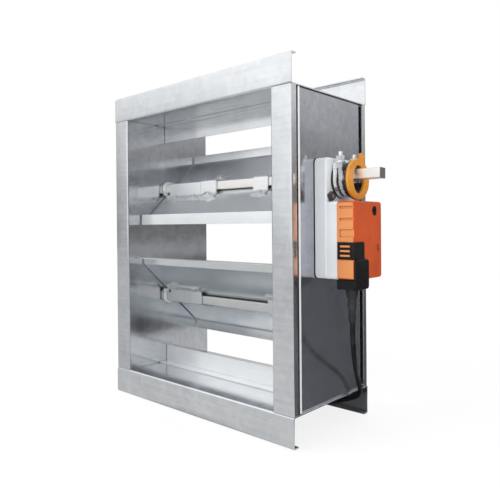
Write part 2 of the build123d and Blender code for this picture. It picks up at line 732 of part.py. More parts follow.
def cable_gland():
    """Collar, sleeve and ribbed strain relief that the cable leaves."""
    collar, waist, sleeve = GLAND_COLLAR, GLAND_WAIST, GLAND_SLEEVE
    profile = [(0, 0), (collar[0], 0), (collar[0], -collar[1]), (waist[0], -collar[1] - 1.5)]
    profile += [(waist[0], -waist[1]), (sleeve[0], -waist[1] - 0.5), (sleeve[0], -sleeve[1])]
    for rib in range(GLAND_RIBS):
        z = -sleeve[1] - 0.5 - GLAND_PITCH * rib
        profile += [(GLAND_CORE_R, z), (GLAND_CORE_R, z - 0.4 * GLAND_PITCH)]
        profile += [(GLAND_RIB_R, z - 0.5 * GLAND_PITCH), (GLAND_RIB_R, z - 0.9 * GLAND_PITCH)]
    profile += [(CABLE_R + 0.4, -gland_length()), (0, -gland_length())]
    return Pos(*gland_place()) * revolve(Plane.XZ * make_face(Polyline(*profile, close=True)), Axis.Z)


def gland_length():
    """Gland from its top to where the cable leaves it."""
    return GLAND_SLEEVE[1] + 0.5 + GLAND_PITCH * (GLAND_RIBS - 0.1) + 0.4


def gland_tip():
    """Where the cable leaves the strain relief."""
    x, y, top = gland_place()
    return (x, y, top - gland_length())


def actuator_motor():
    """Motor can standing on the floor of the housing."""
    y, z = PIVOT_Y + MOTOR_AT[0], BASE_LOW + MOTOR_AT[1]
    seat = PANEL + WALL
    end = seat + MOTOR[1]
    return rod_x(MOTOR[0], (seat, end), y, z) + rod_x(MOTOR_SPINDLE[0], (end, end + MOTOR_SPINDLE[1]), y, z)


def circuit_board():
    """Board on four posts under the orange cover."""
    y, z = PIVOT_Y + BOARD_AT[0], BASE_LOW + BOARD_AT[1]
    radius, length = BOARD_POST
    back = CAP_X - WALL - length
    board = face_block((y, z), (BOARD, BOARD), (back - BOARD_THICK, back))
    corner = BOARD / 2 - BOARD_INSET
    for across in (-corner, corner):
        for up in (-corner, corner):
            board += rod_x(radius, (back, CAP_X - WALL), y + across, z + up)
    return board


# ---------------------------------------------------------------- shaft clamp

def clamp_back():
    """X of the clamp's back, just clear of the housing."""
    return SLAB_X + SIDE_PLAY


def cage_rod(radius, start, thick):
    """Disc on the cage's own centre, from a distance in front of the clamp's back."""
    face = clamp_back() + start
    return rod_x(radius, (face, face + thick), 0, -CAGE_DROP)


def spindle_hub():
    """Turning hub: journal in the housing, back plate, open-topped core and the ring's carrier."""
    hub = rod_x(JOURNAL_R, (PANEL + WALL, clamp_back()), 0, 0)
    hub += cage_rod(CAGE_R, 0, BACK_PLATE)
    length = CARRIER - BACK_PLATE
    core = cage_rod(CORE_R, BACK_PLATE, length) - cage_rod(CORE_R - CORE_WALL, BACK_PLATE - 1, length + 2)
    face = clamp_back() + BACK_PLATE
    core -= block((face - 1, face + length + 1), (-30, 30), (-CAGE_DROP - 2, 30))
    hub += core
    hub -= rod_x(CORNER + 0.6, (PANEL, face + 1), 0, 0)
    carrier = cage_rod(RING_R - CARRIER_EDGE, CARRIER, CARRIER_THICK)
    carrier -= cage_rod(CORE_R - CORE_WALL, CARRIER - 1, CARRIER_THICK + 2)
    radius, length = PILLAR
    seat = clamp_back() + CARRIER
    for side in (-1, 1):
        carrier += rod_x(radius, (seat - length, seat), side * PILLAR_AT[0], PILLAR_AT[1])
    return hub + carrier


def clamp_bands():
    """Two steel bands round the core, up to the jaw."""
    bands = []
    for start in BAND_STARTS:
        face = clamp_back() + start
        outer, inner = CORE_R + BAND_SHEET, CORE_R
        band = cage_rod(outer, start, BAND)
        band += block((face, face + BAND), (-outer, outer), (-CAGE_DROP, SHAFT / 2))
        band -= cage_rod(inner, start - 1, BAND + 2)
        band -= block((face - 1, face + BAND + 1), (-inner, inner), (-CAGE_DROP, 2 * SHAFT))
        bands.append(band)
    return group(bands)


def clamp_x():
    """Middle of the U-bolt, along X."""
    return clamp_back() + CLAMP_MIDDLE


def u_bolt():
    """U-bolt with two legs up; its bend bears on the lower edges of the shaft."""
    x = clamp_x()
    edge = SHAFT / 2 - SHAFT_EDGE
    reach = BOLT_HALF - BOLT_WIRE - SHAFT_EDGE - SQUARE_FIT
    drop = math.sqrt(reach ** 2 - edge ** 2) - edge
    bend = Plane.YZ.offset(x) * (
        Line((-BOLT_HALF, BOLT_TOP), (-BOLT_HALF, drop))
        + ThreePointArc((-BOLT_HALF, drop), (0, drop - BOLT_HALF), (BOLT_HALF, drop))
        + Line((BOLT_HALF, drop), (BOLT_HALF, BOLT_TOP))
    )
    wire = Plane((x, -BOLT_HALF, BOLT_TOP), z_dir=(0, 0, -1)) * Circle(BOLT_WIRE)
    return sweep(wire, path=bend)


def clamp_jaw():
    """Toothed bridge over the shaft that the nuts pull down."""
    x = clamp_x()
    low = SHAFT / 2 + SQUARE_FIT
    half = CORE_R + BAND_SHEET
    jaw = block((x - JAW_WIDTH / 2, x + JAW_WIDTH / 2), (-half, half), (low, low + JAW_HEIGHT))
    for side in (-1, 1):
        jaw -= rod_z(BOLT_WIRE + 0.1, x, side * BOLT_HALF, (low - 1, low + JAW_HEIGHT + 1))
    tooth = Pos(x, 0, low) * Rot(X=45) * Box(JAW_WIDTH, JAW_TOOTH, JAW_TOOTH)
    for step in range(-3, 4):
        jaw -= Pos(0, JAW_PITCH * step, 0) * tooth
    return jaw


def clamp_nuts():
    """Flanged nuts on the U-bolt's legs."""
    low = SHAFT / 2 + SQUARE_FIT + JAW_HEIGHT
    nuts = []
    for side in (-1, 1):
        y = side * BOLT_HALF
        seat = low + NUT_FLANGE[1]
        nut = rod_z(NUT_FLANGE[0], clamp_x(), y, (low, seat))
        outline = Pos(clamp_x(), y) * RegularPolygon(NUT[0], 6, major_radius=False)
        nut += Pos(0, 0, seat) * extrude(outline, amount=NUT[1])
        nuts.append(nut - rod_z(BOLT_WIRE + SQUARE_FIT, clamp_x(), y, (low - 1, seat + NUT[1] + 1)))
    return group(nuts)


def indicator_ring():
    """Yellow position ring on the carrier, with an oval eye and its pointer tab."""
    start = clamp_back() + CARRIER + CARRIER_THICK
    span = (start, start + RING_THICK)
    ring = rod_x(RING_R, span, 0, -CAGE_DROP)
    eye = slice_x(Pos(0, -CAGE_DROP) * Ellipse(*RING_HOLE), (span[0] - 1, span[1] + 1))
    ring = chamfer(ring.edges().filter_by(GeomType.CIRCLE).group_by(Axis.X)[-1], RING_EDGE) - eye
    top = RING_R - CAGE_DROP
    return ring + block(span, POINTER, (top - POINTER_RISE, top + POINTER_RISE))


def end_stop_place():
    """Y and Z of the adjustable end stop on the housing."""
    return (PIVOT_Y - END_STOP_AT[0], UPPER_Z - END_STOP_AT[1])


def end_stop_clip():
    """Black frame of the end stop, set corner up on the housing beside the cage."""
    y, z = end_stop_place()
    wide, thick = END_STOP
    eye = Box(2 * END_STOP_DEEP, END_STOP_EYE, END_STOP_EYE)
    frame = Box(thick, wide, wide) - Pos(thick / 2, 0, 0) * eye
    return Pos(SLAB_X + thick / 2, y, z) * Rot(X=END_STOP_TURN) * frame


def end_stop_insert():
    """Bright square insert in the end stop."""
    y, z = end_stop_place()
    wide, deep = END_STOP_EYE - 2 * SQUARE_FIT, END_STOP_DEEP - 2 * SQUARE_FIT
    middle = SLAB_X + END_STOP[1] - END_STOP_DEEP + deep / 2
    return Pos(middle, y, z) * Rot(X=END_STOP_TURN) * Box(deep, wide, wide)


def at_axis(shape, z, side):
    """Shape about the X axis, moved to an axis of the gear train. Neighbours turn opposite ways;
    side is -1 for those that turn with the upper shaft."""
    return Pos(0, PIVOT_Y, z) * Rot(X=side * OFF_SQUARE) * shape


def at_upper_axis(shape):
    """Shape about the X axis that turns with the upper shaft, its flats level before."""
    return at_axis(shape, UPPER_Z, -1)


# ---------------------------------------------------------------- cable

COIL_R = 29.0              # centre line of the coil
COIL_TURNS = 4
COIL_X, COIL_Y = 10.0, 7.0
COIL_HEIGHT = (COIL_TURNS + 1) * 2 * CABLE_R


def cable_route():
    """Points from the strain relief down past the casing's corner and under it to the coil."""
    x, y, z = gland_tip()
    return [
        (x, y, z), (x, y, z - 12), (x - 3.5, y + 7, z - 28), (x - 12, y + 24, z - 48),
        (146.5, 33.5, 48.5), (143.5, 43, 31), (136, 47.5, 15), (121, 48, 5.5), (102, 45.5, 2.9),
        (80, 41, 2.8), (55, 37.5, 3.2), (30, 36.3, 2.8), (COIL_X, COIL_Y + COIL_R, 2.6),
    ]


def cable_path():
    """Runs joined by arcs as large as the two runs beside each corner allow."""
    points = [Vector(*point) for point in cable_route()]
    runs = [after - before for before, after in zip(points, points[1:])]
    radii = []
    for first, second in zip(runs, runs[1:]):
        turn = math.radians(first.get_angle(second))
        radii.append(0.45 * min(first.length, second.length) / math.tan(turn / 2))
    print("cable radii", [round(radius, 1) for radius in radii])
    return FilletPolyline(*points, radius=radii)


def power_cable():
    path = cable_path()
    start = Plane(path @ 0, z_dir=path % 0)
    tube = sweep(start * Circle(CABLE_R), path=path)
    print("cable length", round(path.length, 1), "volume ratio",
          round(tube.volume / (math.pi * CABLE_R ** 2 * path.length), 4))
    return tube


def cable_coil():
    """Outer shape of the coiled rest of the cable, lying on the floor."""
    ring = rod_z(COIL_R + CABLE_R, COIL_X, COIL_Y, (0, COIL_HEIGHT))
    return ring - rod_z(COIL_R - CABLE_R - 1.0, COIL_X, COIL_Y, (-1, COIL_HEIGHT + 1))


# ---------------------------------------------------------------- the assembly

def build_casing():
    right = side_channel()
    save(other_side(right), "left_side_channel")
    for z in IDLER_ZS:
        right -= rod_x(AXLE_R - 1, (HALF - 1, WEB + 1), PIVOT_Y, z)
    save(right, "right_side_channel")
    save(cross_channel(), "bottom_channel")
    save(over_middle(cross_channel()), "top_channel")
    save(casing_rivets(), "casing_rivets")
    save(blade_stop(), "bottom_blade_stop")
    save(over_middle(blade_stop()), "top_blade_stop")
    save(jamb_cover(), "jamb_cover")


def build_blades():
    wall_bush = bush(HALF, SHEET)
    upper = blade_skin(UPPER_REACHES, UPPER_NOSE, -1)
    lower = blade_skin(LOWER_REACHES, LOWER_NOSE, 1)
    save(on_upper(blade(upper, UPPER_STRAPS, True)), "upper_blade")
    save(on_lower(mirror(blade(lower, LOWER_STRAPS, False), about=Plane.XY)), "lower_blade")
    stub = WEB + 5
    save(on_upper(shaft((-stub, SHAFT_TIP))), "drive_shaft")
    save(on_lower(shaft((-stub, GEAR_X + GEAR_WIDTH + 4.0))), "lower_shaft")
    for name, place, straps in (("upper", on_upper, UPPER_STRAPS), ("lower", on_lower, LOWER_STRAPS)):
        save(place(wall_bush), f"right_{name}_bush")
        save(place(other_side(wall_bush)), f"left_{name}_bush")
        save(place(strap(straps[0])), f"{name}_left_strap")
        save(place(strap(straps[1])), f"{name}_right_strap")
        save(place(strap_rivets(straps)), f"{name}_strap_rivets")
    save(on_upper(shaft_saddle()), "shaft_lock_saddle")
    save(on_upper(saddle_screws()), "shaft_lock_screws")
    save(on_upper(bush(PANEL - COVER_SHEET, COVER_SHEET)), "cover_bush")


def build_gears():
    save(at_upper_axis(driven_gear()), "drive_gear")
    save(at_axis(driven_gear(), LOWER_Z, 1), "lower_gear")
    for name, z, side in zip(("upper", "lower"), IDLER_ZS, (1, -1)):
        save(at_axis(idler_gear(), z, side), f"{name}_idler_gear")
        save(Pos(0, PIVOT_Y, z) * idler_axle(), f"{name}_idler_axle")
    save(group([Pos(0, PIVOT_Y, z) * axle_clip(AXLE_R) for z in IDLER_ZS]), "idler_clips")


def build_actuator():
    save(actuator_base(), "actuator_base")
    save(actuator_cap(), "actuator_cover")
    save(actuator_motor(), "actuator_motor")
    save(circuit_board(), "actuator_circuit_board")
    save(anti_rotation_bracket(), "anti_rotation_bracket")
    save(bracket_screw(), "bracket_screw")
    save(release_button(), "release_button")
    save(button_ribs(), "release_button_ribs")
    save(connector_block(), "connector_block")
    save(cable_gland(), "cable_gland")
    save(end_stop_clip(), "end_stop_clip")
    save(end_stop_insert(), "end_stop_insert")
    save(direction_switch(), "direction_switch")
    save(service_plug(), "service_plug")
    save(at_upper_axis(spindle_hub()), "spindle_hub")
    save(at_upper_axis(u_bolt()), "clamp_u_bolt")
    save(at_upper_axis(clamp_bands()), "clamp_bands")
    save(at_upper_axis(clamp_jaw()), "clamp_jaw")
    save(at_upper_axis(clamp_nuts()), "clamp_nuts")
    save(at_upper_axis(indicator_ring()), "position_indicator")


def build_cable():
    save(power_cable(), "power_cable")
    save(cable_coil(), "cable_coil")


os.makedirs("parts", exist_ok=True)
build_casing()
build_blades()
build_gears()
build_actuator()
build_cable()
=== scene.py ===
"""Looks of the motorised volume control damper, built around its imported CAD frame.

Everything is in metres, in the CAD frame: +X is the actuator side, +Y the air flow, +Z up.
"""
import math

import bmesh
import bpy
from mathutils import Matrix, Vector


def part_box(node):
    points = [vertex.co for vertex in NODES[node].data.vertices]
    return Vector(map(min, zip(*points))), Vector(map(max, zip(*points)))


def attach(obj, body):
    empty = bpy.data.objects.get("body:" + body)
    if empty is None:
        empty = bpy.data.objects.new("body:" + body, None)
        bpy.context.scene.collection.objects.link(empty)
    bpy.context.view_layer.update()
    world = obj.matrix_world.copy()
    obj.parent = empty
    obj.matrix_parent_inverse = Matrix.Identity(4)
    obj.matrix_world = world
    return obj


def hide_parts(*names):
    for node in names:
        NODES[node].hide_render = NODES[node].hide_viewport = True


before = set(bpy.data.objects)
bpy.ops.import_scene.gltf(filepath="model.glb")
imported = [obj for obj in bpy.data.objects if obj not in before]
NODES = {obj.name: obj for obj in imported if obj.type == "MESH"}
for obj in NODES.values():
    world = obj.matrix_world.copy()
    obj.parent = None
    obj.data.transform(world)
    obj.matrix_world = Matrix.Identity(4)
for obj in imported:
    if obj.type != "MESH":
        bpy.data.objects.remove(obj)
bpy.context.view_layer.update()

# ---- camera ----
CAMERA_AT = Vector((0.43902, -0.45433, 0.20588))
CAMERA_YAW = math.radians(41.935)
CAMERA_PITCH = math.radians(-0.318)
CAMERA_ROLL = math.radians(-0.482)
CAMERA_LENS = 38.76
CAMERA_SHIFT = (-0.0045, -0.0435)

# ---- cable: the CAD route, a little higher at its foot, then the turns of its coil ----
CABLE_R = 0.0025
CABLE_ROUTE = [
    (0.17145, -0.017, 0.1148), (0.17145, -0.017, 0.1028), (0.16795, -0.010, 0.0868),
    (0.15945, 0.007, 0.0668), (0.1462, 0.0330, 0.0470), (0.1446, 0.0430, 0.0280),
    (0.1345, 0.0472, 0.0205), (0.1195, 0.0472, 0.0148), (0.1015, 0.0450, 0.0082),
    (0.080, 0.0412, 0.0036), (0.055, 0.0377, 0.0032), (0.030, 0.0363, 0.0028),
]
COIL_AT = (0.010, 0.007, 0.0026)
COIL_R = 0.029
COIL_TURNS = 4
TURN_POINTS = 16
TIE_ANGLE = math.radians(200.0)     # where on the coil the tie sits
TIE_WIDE = 0.0045
TIE_THICK = 0.0011
TIE_SLACK = (0.0009, 0.0003)        # past the turns, outwards and upwards
TIE_SQUARENESS = (0.5, 0.3)         # powers of cosine and sine: lower is squarer
TIE_STEPS = 48
WIRES = [(-1, "wire_red"), (0, "wire_black"), (1, "wire_white")]
WIRE_R = 0.0008
WIRE_POINTS = [                     # from the lead's end: X, Y between wires, Y of all three
    (0.001, 0.0009, 0.0), (-0.003, 0.0012, 0.0), (-0.0065, 0.0017, -0.0008),
    (-0.0105, 0.0020, -0.0022),
]
FERRULE_RINGS = [                   # distance from the wire's tip, radius
    (0.0, 0.0011), (0.0008, 0.0011), (0.0013, 0.0007), (0.0062, 0.0006), (0.0066, 0.0004),
]
FERRULE_SIDES = 16

# ---- small pieces on the cover: painted shade and highlight at its front edge, painted shade behind the actuator ----
SHADOW_LINE_AT, SHADOW_LINE_HALF, SHADOW_LINE_RISE = -0.0001, 0.0021, 0.0013
SHADOW_LINE_SEAT = 0.00005
SHADOW_LINE_INSET = 0.0004                 # short of the cover's ends
HEM_AT, HEM_HALF, HEM_RISE = 0.0036, 0.0014, 0.0014
BEAD_STEPS = 10
BACK_SHADOW_PROUD, BACK_SHADOW_WIDE, BACK_SHADOW_THICK = 0.0001, 0.006, 0.0008
BACK_SHADOW_SEAT = 0.00002
BACK_SHADOW_CORNERS = (0.004, 0.002)     # outer and inner radius
CORNER_STEPS = 6

# ---- shading ----
SMOOTH_ANGLE = math.radians(32.0)
WELD = 0.00001
EASE = 0.0004                       # radius that shading gives to a sharp edge
BEVEL_SAMPLES = 4
EDGE_COSINES = (0.98, 0.80)         # of eased to true normal: flat face, sharp edge
CREVICE_SAMPLES = 6
OPEN_AIR = (0.15, 0.75)             # share of open air deep in a crevice and outside it, for the painted crevice shade
DEEP_SHADE_REACH, FINE_SHADE_REACH = 0.003, 0.0015
NOISE_SPAN = (0.3, 0.7)             # where most values of a noise lie
END_FACES, SIDE_FACES = (0.80, 0.95), (0.75, 0.95)      # cosines where they begin and are whole
ACROSS = (0.06, 1.0, 1.0)           # scale of drawing marks along X
UPRIGHT = (1.0, 1.0, 0.08)          # and along Z

# ---- stage; each studio slope has its direction, range along it and level at both ends ----
STUDIO_FRONT = ((0.0, -1.0, 1.3), (0.15, 1.1), (0.0, 1.2))
STUDIO_BACK = ((0.0, 0.0, 1.0), (0.08, 0.36), (0.17, 1.10))
AMBIENT_LEVEL = 0.62
AMBIENT_TINT = (0.95, 0.97, 1.0, 1.0)
WHITE = (1.0, 1.0, 1.0, 1.0)
FLOOR_HALF = 4.0
FLOOR_Z = -0.0004
FLOOR_FADE = 0.84                   # share of plain white next to the object
FLOOR_REACH = (0.28, 0.55)          # where that share starts to grow, and where it is whole
FLOOR_IN_METAL = (0.05, 0.62)       # glow in reflections: painted shadow under the casing, and away from it
FLOOR_GREY = (0.92, 0.92, 0.92)
SHADE_AT = (0.0, -0.016, 0.0)
SHADE_SCALE = (0.42, 1.0, 1.0)
SHADE_REACH = (0.064, 0.095)
FLAG_CORNER, FLAG_OPPOSITE, FLAG_Z = (0.17, -0.02), (2.0, 2.4), 0.0012
FLAG_GREY = (0.055, 0.055, 0.062)
LAMPS = [                           # name, place, target, size, power
    ("key", (-0.9, -1.5, 1.5), (0.0, 0.0, 0.2), 1.3, 29.0),
    ("fill", (1.4, -1.1, 0.9), (0.05, 0.0, 0.2), 1.2, 9.5),
    ("top", (0.1, 0.3, 1.9), (0.0, 0.0, 0.2), 1.4, 14.0),
]


# ---- node helpers ----

SOCKETS = {
    "base_color": "Base Color", "metallic": "Metallic", "roughness": "Roughness",
    "normal": "Normal", "specular": "Specular IOR Level",
}


class Nodes:
    """A node tree, with short ways to add to it."""

    def __init__(self, tree):
        self.tree = tree

    def node(self, kind, inputs=None, **settings):
        """New node; inputs is {socket: value or output}, settings are its properties."""
        made = self.tree.nodes.new("ShaderNode" + kind)
        for key, value in settings.items():
            setattr(made, key, value)
        for key, value in (inputs or {}).items():
            self.put(made.inputs[key], value)
        return made

    def put(self, socket, value):
        """Links an output to a socket, or sets the socket to a plain value."""
        if isinstance(value, bpy.types.NodeSocket):
            self.tree.links.new(value, socket)
        else:
            socket.default_value = value

    def remap(self, value, source, target):
        """Takes the range source to the range target, clamped."""
        inputs = {"Value": value, "From Min": source[0], "From Max": source[1],
                  "To Min": target[0], "To Max": target[1]}
        return self.node("MapRange", inputs).outputs["Result"]

    def math(self, operation, first, second):
        return self.node("Math", {0: first, 1: second}, operation=operation).outputs[0]

    def blend_of(self, *parts):
        """Sum of (output, share) parts."""
        total = None
        for value, share in parts:
            term = self.math("MULTIPLY", value, share)
            total = term if total is None else self.math("ADD", total, term)
        return total


class Look(Nodes):
    """One material: its shader, its coordinates and what the finishes are made of."""

    def __init__(self, name):
        self.material = bpy.data.materials.new(name)
        self.material.use_nodes = True
        super().__init__(self.material.node_tree)
        self.shader = self.tree.nodes["Principled BSDF"]
        space = self.node("TexCoord").outputs
        self.coords, self.facing = space["Object"], space["Normal"]

    def set(self, **values):
        """Sets sockets of the shader, by their keys in SOCKETS."""
        for key, value in values.items():
            if key == "base_color" and isinstance(value, tuple):
                value = (*value, 1.0)
            self.put(self.shader.inputs[SOCKETS[key]], value)

    def stretched(self, scale):
        """Object coordinates stretched along each axis."""
        return self.node("Mapping", {"Vector": self.coords, "Scale": scale}).outputs["Vector"]

    def noise(self, scale, detail=3.0, roughness=0.5, vector=None, output="Fac"):
        """Noise of this scale per metre, on the object's coordinates or others."""
        inputs = {"Vector": vector or self.coords, "Scale": scale, "Detail": detail,
                  "Roughness": roughness}
        return self.node("TexNoise", inputs).outputs[output]

    def warped(self, scale, amount):
        """Object coordinates pushed about by noise, in metres."""
        push = self.noise(scale, 3.0, output="Color")
        centred = self.node("VectorMath", {0: push, 1: (0.5, 0.5, 0.5)}, operation="SUBTRACT")
        sized = self.node("VectorMath", {0: centred.outputs[0], "Scale": amount}, operation="SCALE")
        moved = self.node("VectorMath", {0: self.coords, 1: sized.outputs[0]}, operation="ADD")
        return moved.outputs[0]

    def cells(self, scale, vector):
        """Voronoi cells: a random number for each and the distance in it."""
        made = self.node("TexVoronoi", {"Vector": vector, "Scale": scale})
        number = self.node("SeparateColor", {"Color": made.outputs["Color"]}).outputs["Red"]
        return number, made.outputs["Distance"]

    def spread(self, value, low, high):
        """Value from low to high over the values of a noise."""
        return self.remap(value, NOISE_SPAN, (low, high))

    def tones(self, value, dark, light):
        """Colour from dark to light over the values of a noise."""
        return self.ramp(value, list(zip(NOISE_SPAN, (dark, light))))

    def ramp(self, value, stops):
        """Colour ramp through (position, colour) stops."""
        made = self.node("ValToRGB", {"Fac": value})
        band = made.color_ramp
        while len(band.elements) < len(stops):
            band.elements.new(0.5)
        for element, (position, colour) in zip(band.elements, stops):
            element.position = position
            element.color = (*colour, 1.0)
        return made.outputs["Color"]

    def mix(self, factor, first, second):
        """Colour mix; a plain colour is a tuple of three."""
        made = self.node("Mix", data_type="RGBA")
        sockets = [made.inputs[0], made.inputs[6], made.inputs[7]]
        for socket, value in zip(sockets, (factor, first, second)):
            self.put(socket, (*value, 1.0) if isinstance(value, tuple) else value)
        return made.outputs[2]

    def bump(self, height, strength, distance, normal=None):
        """Normal tilted by a height in units of distance, on top of another normal."""
        inputs = {"Height": height, "Strength": strength, "Distance": distance}
        if normal is not None:
            inputs["Normal"] = normal
        return self.node("Bump", inputs).outputs["Normal"]

    def edge(self, radius):
        """1 on a sharp edge and 0 on a flat face."""
        soft = self.eased(radius)
        true = self.node("NewGeometry").outputs["Normal"]
        same = self.node("VectorMath", {0: soft, 1: true}, operation="DOT_PRODUCT")
        return self.remap(same.outputs["Value"], EDGE_COSINES, (0.0, 1.0))

    def on_edges(self, body, radius, share, colour):
        """A colour with this share of another one on its sharp edges."""
        return self.mix(self.math("MULTIPLY", self.edge(radius), share), body, colour)

    def painted_crevice_shade(self, reach, colour, shade_colour):
        """Painted shade: darkens a colour where another surface is within reach."""
        open_air = self.node("AmbientOcclusion", {"Distance": reach}, samples=CREVICE_SAMPLES)
        free = self.remap(open_air.outputs["AO"], OPEN_AIR, (0.0, 1.0))
        return self.mix(free, shade_colour, colour)

    def eased(self, radius):
        """Normal that rounds sharp edges."""
        return self.node("Bevel", {"Radius": radius}, samples=BEVEL_SAMPLES).outputs["Normal"]

    def faces_along(self, axis, limits):
        """1 on a face square to the axis, 0 on the others."""
        part = self.node("SeparateXYZ", {"Vector": self.facing}).outputs[axis]
        return self.remap(self.math("ABSOLUTE", part, 0.0), limits, (0.0, 1.0))


# ---- materials ----

def darker(colour, share):
    """A colour at this share of its brightness."""
    return tuple(value * share for value in colour)


def galvanised(name, dark, light, rough, waviness=0.10, metal=0.95):
    """Skin-passed galvanised sheet: cloudy patches, rolling streaks, a barely seen spangle,
    painted highlights on its sharp folds and painted shade in its crevices.
    """
    look = Look(name)
    crystal, inside = look.cells(150.0, look.warped(120.0, 0.005))
    cloud = look.noise(9.0, 4.0, 0.6)
    blotch = look.noise(45.0, 3.0)
    rolled = look.noise(75.0, 5.0, 0.6, look.stretched((0.12, 3.0, 3.0)))
    tone = look.blend_of((crystal, 0.07), (cloud, 0.50), (blotch, 0.18), (rolled, 0.25))
    sheet = look.ramp(tone, [(0.32, dark), (0.68, light)])
    # painted highlight on the sharp folds, then painted shade in crevices
    sheet = look.on_edges(sheet, 2 * EASE, 0.7, (0.93, 0.94, 0.95))
    sheet = look.painted_crevice_shade(DEEP_SHADE_REACH, sheet, (0.26, 0.26, 0.28))
    finish = look.blend_of((blotch, 0.6), (rolled, 0.4))
    waves = look.bump(look.noise(14.0, 2.0), waviness, 0.004, look.eased(EASE))
    grain = look.bump(inside, 0.02, 0.0004, waves)
    look.set(base_color=sheet, metallic=metal, normal=look.bump(rolled, 0.03, 0.0003, grain),
             roughness=look.spread(finish, rough - 0.03, rough + 0.05))
    return look.material


def zinc(name, dark, light, rough, along, metal=0.9, shade_colour=(0.22, 0.22, 0.23),
         rim=(0.95, 0.95, 0.94), rim_wide=EASE, rim_share=0.5, sheared=None):
    """Zinc plate with fine drawing marks and painted shade in its crevices; along squeezes the
    marks across one axis. rim is a colour painted on its arrises, a painted highlight when pale
    and painted shade when dark; sheared is that of the cut ends of a bar along X."""
    look = Look(name)
    marks = look.noise(900.0, 4.0, vector=look.stretched(along))
    patch = look.noise(70.0, 3.0)
    tone = look.blend_of((marks, 0.5), (patch, 0.5))
    plate = look.tones(tone, dark, light)
    if sheared:
        torn = look.tones(patch, darker(sheared, 0.6), sheared)
        plate = look.mix(look.faces_along("X", END_FACES), plate, torn)
    # rim colour painted on the arrises (pale: painted highlight; dark: painted shade), then painted
    # shade in crevices
    plate = look.on_edges(plate, rim_wide, rim_share, rim)
    plate = look.painted_crevice_shade(FINE_SHADE_REACH, plate, shade_colour)
    look.set(base_color=plate, metallic=metal,
             roughness=look.spread(patch, rough - 0.05, rough + 0.08),
             normal=look.bump(marks, 0.10, 0.0002, look.eased(EASE)))
    return look.material


def plastic(name, colour, rough, grain=0.08, edge_highlight=(1.25, 0.25), ease=EASE, y_face_light=None,
            gloss=0.5):
    """Moulded plastic: spark-eroded grain, slight flow clouds, painted highlights on its sharp
    edges, painted shade in its crevices. The pair after grain is how much paler those
    highlights are and their share; the colour after ease is painted light and shade on
    the faces square to Y."""
    look = Look(name)
    lift, share = edge_highlight
    pale = tuple(min(1.0, value * lift + 0.002) for value in colour)
    deep = darker(colour, 0.86)
    flow = look.noise(28.0, 3.0)
    fine = look.noise(2600.0, 2.0)
    body = look.ramp(flow, [(0.3, deep), (0.5, colour), (0.75, pale)])
    # painted light and shade on the faces square to Y: paler on the orange cover, darker on the
    # grey base
    if y_face_light:
        lit_y_faces = look.tones(flow, darker(y_face_light, 0.9), y_face_light)
        body = look.mix(look.faces_along("Y", SIDE_FACES), body, lit_y_faces)
    body = look.mix(look.math("MULTIPLY", fine, 0.10), body, deep)
    # painted highlight on the sharp edges, then painted shade in crevices
    body = look.on_edges(body, ease, share, pale)
    body = look.painted_crevice_shade(FINE_SHADE_REACH, body, darker(colour, 0.25))
    look.set(base_color=body, specular=gloss,
             roughness=look.spread(look.noise(55.0, 3.0), rough - 0.05, rough + 0.06),
             normal=look.bump(fine, grain, 0.0001, look.eased(ease)))
    return look.material


def cable_sheath(name):
    """Black PVC with a fine grain and dust."""
    look = Look(name)
    dust = look.noise(140.0, 4.0)
    body = look.ramp(dust, [(0.35, (0.005, 0.005, 0.006)), (0.75, (0.018, 0.018, 0.020))])
    look.set(base_color=body, specular=0.3, roughness=look.spread(dust, 0.40, 0.54),
             normal=look.bump(look.noise(1500.0, 2.0), 0.08, 0.0001))
    return look.material


def matt_shade_black(name):
    """Matt black with a fine pore grain: the look of the strips of painted shade."""
    look = Look(name)
    pores = look.noise(1800.0, 3.0)
    foam = look.tones(pores, (0.002, 0.002, 0.002), (0.006, 0.006, 0.007))
    look.set(base_color=foam, specular=0.08, roughness=look.spread(pores, 0.80, 0.92),
             normal=look.bump(pores, 0.2, 0.0002))
    return look.material


def circuit_board_look(name):
    """Green lacquer over tracks, with a few bare pads."""
    look = Look(name)
    cell, near = look.cells(420.0, look.coords)
    tracks = look.ramp(near, [(0.30, (0.010, 0.085, 0.035)), (0.42, (0.018, 0.16, 0.06))])
    board = look.mix(look.math("GREATER_THAN", cell, 0.9), tracks, (0.45, 0.42, 0.30))
    look.set(base_color=board, roughness=look.remap(cell, (0.0, 1.0), (0.32, 0.45)))
    return look.material


# ---- who wears what ----

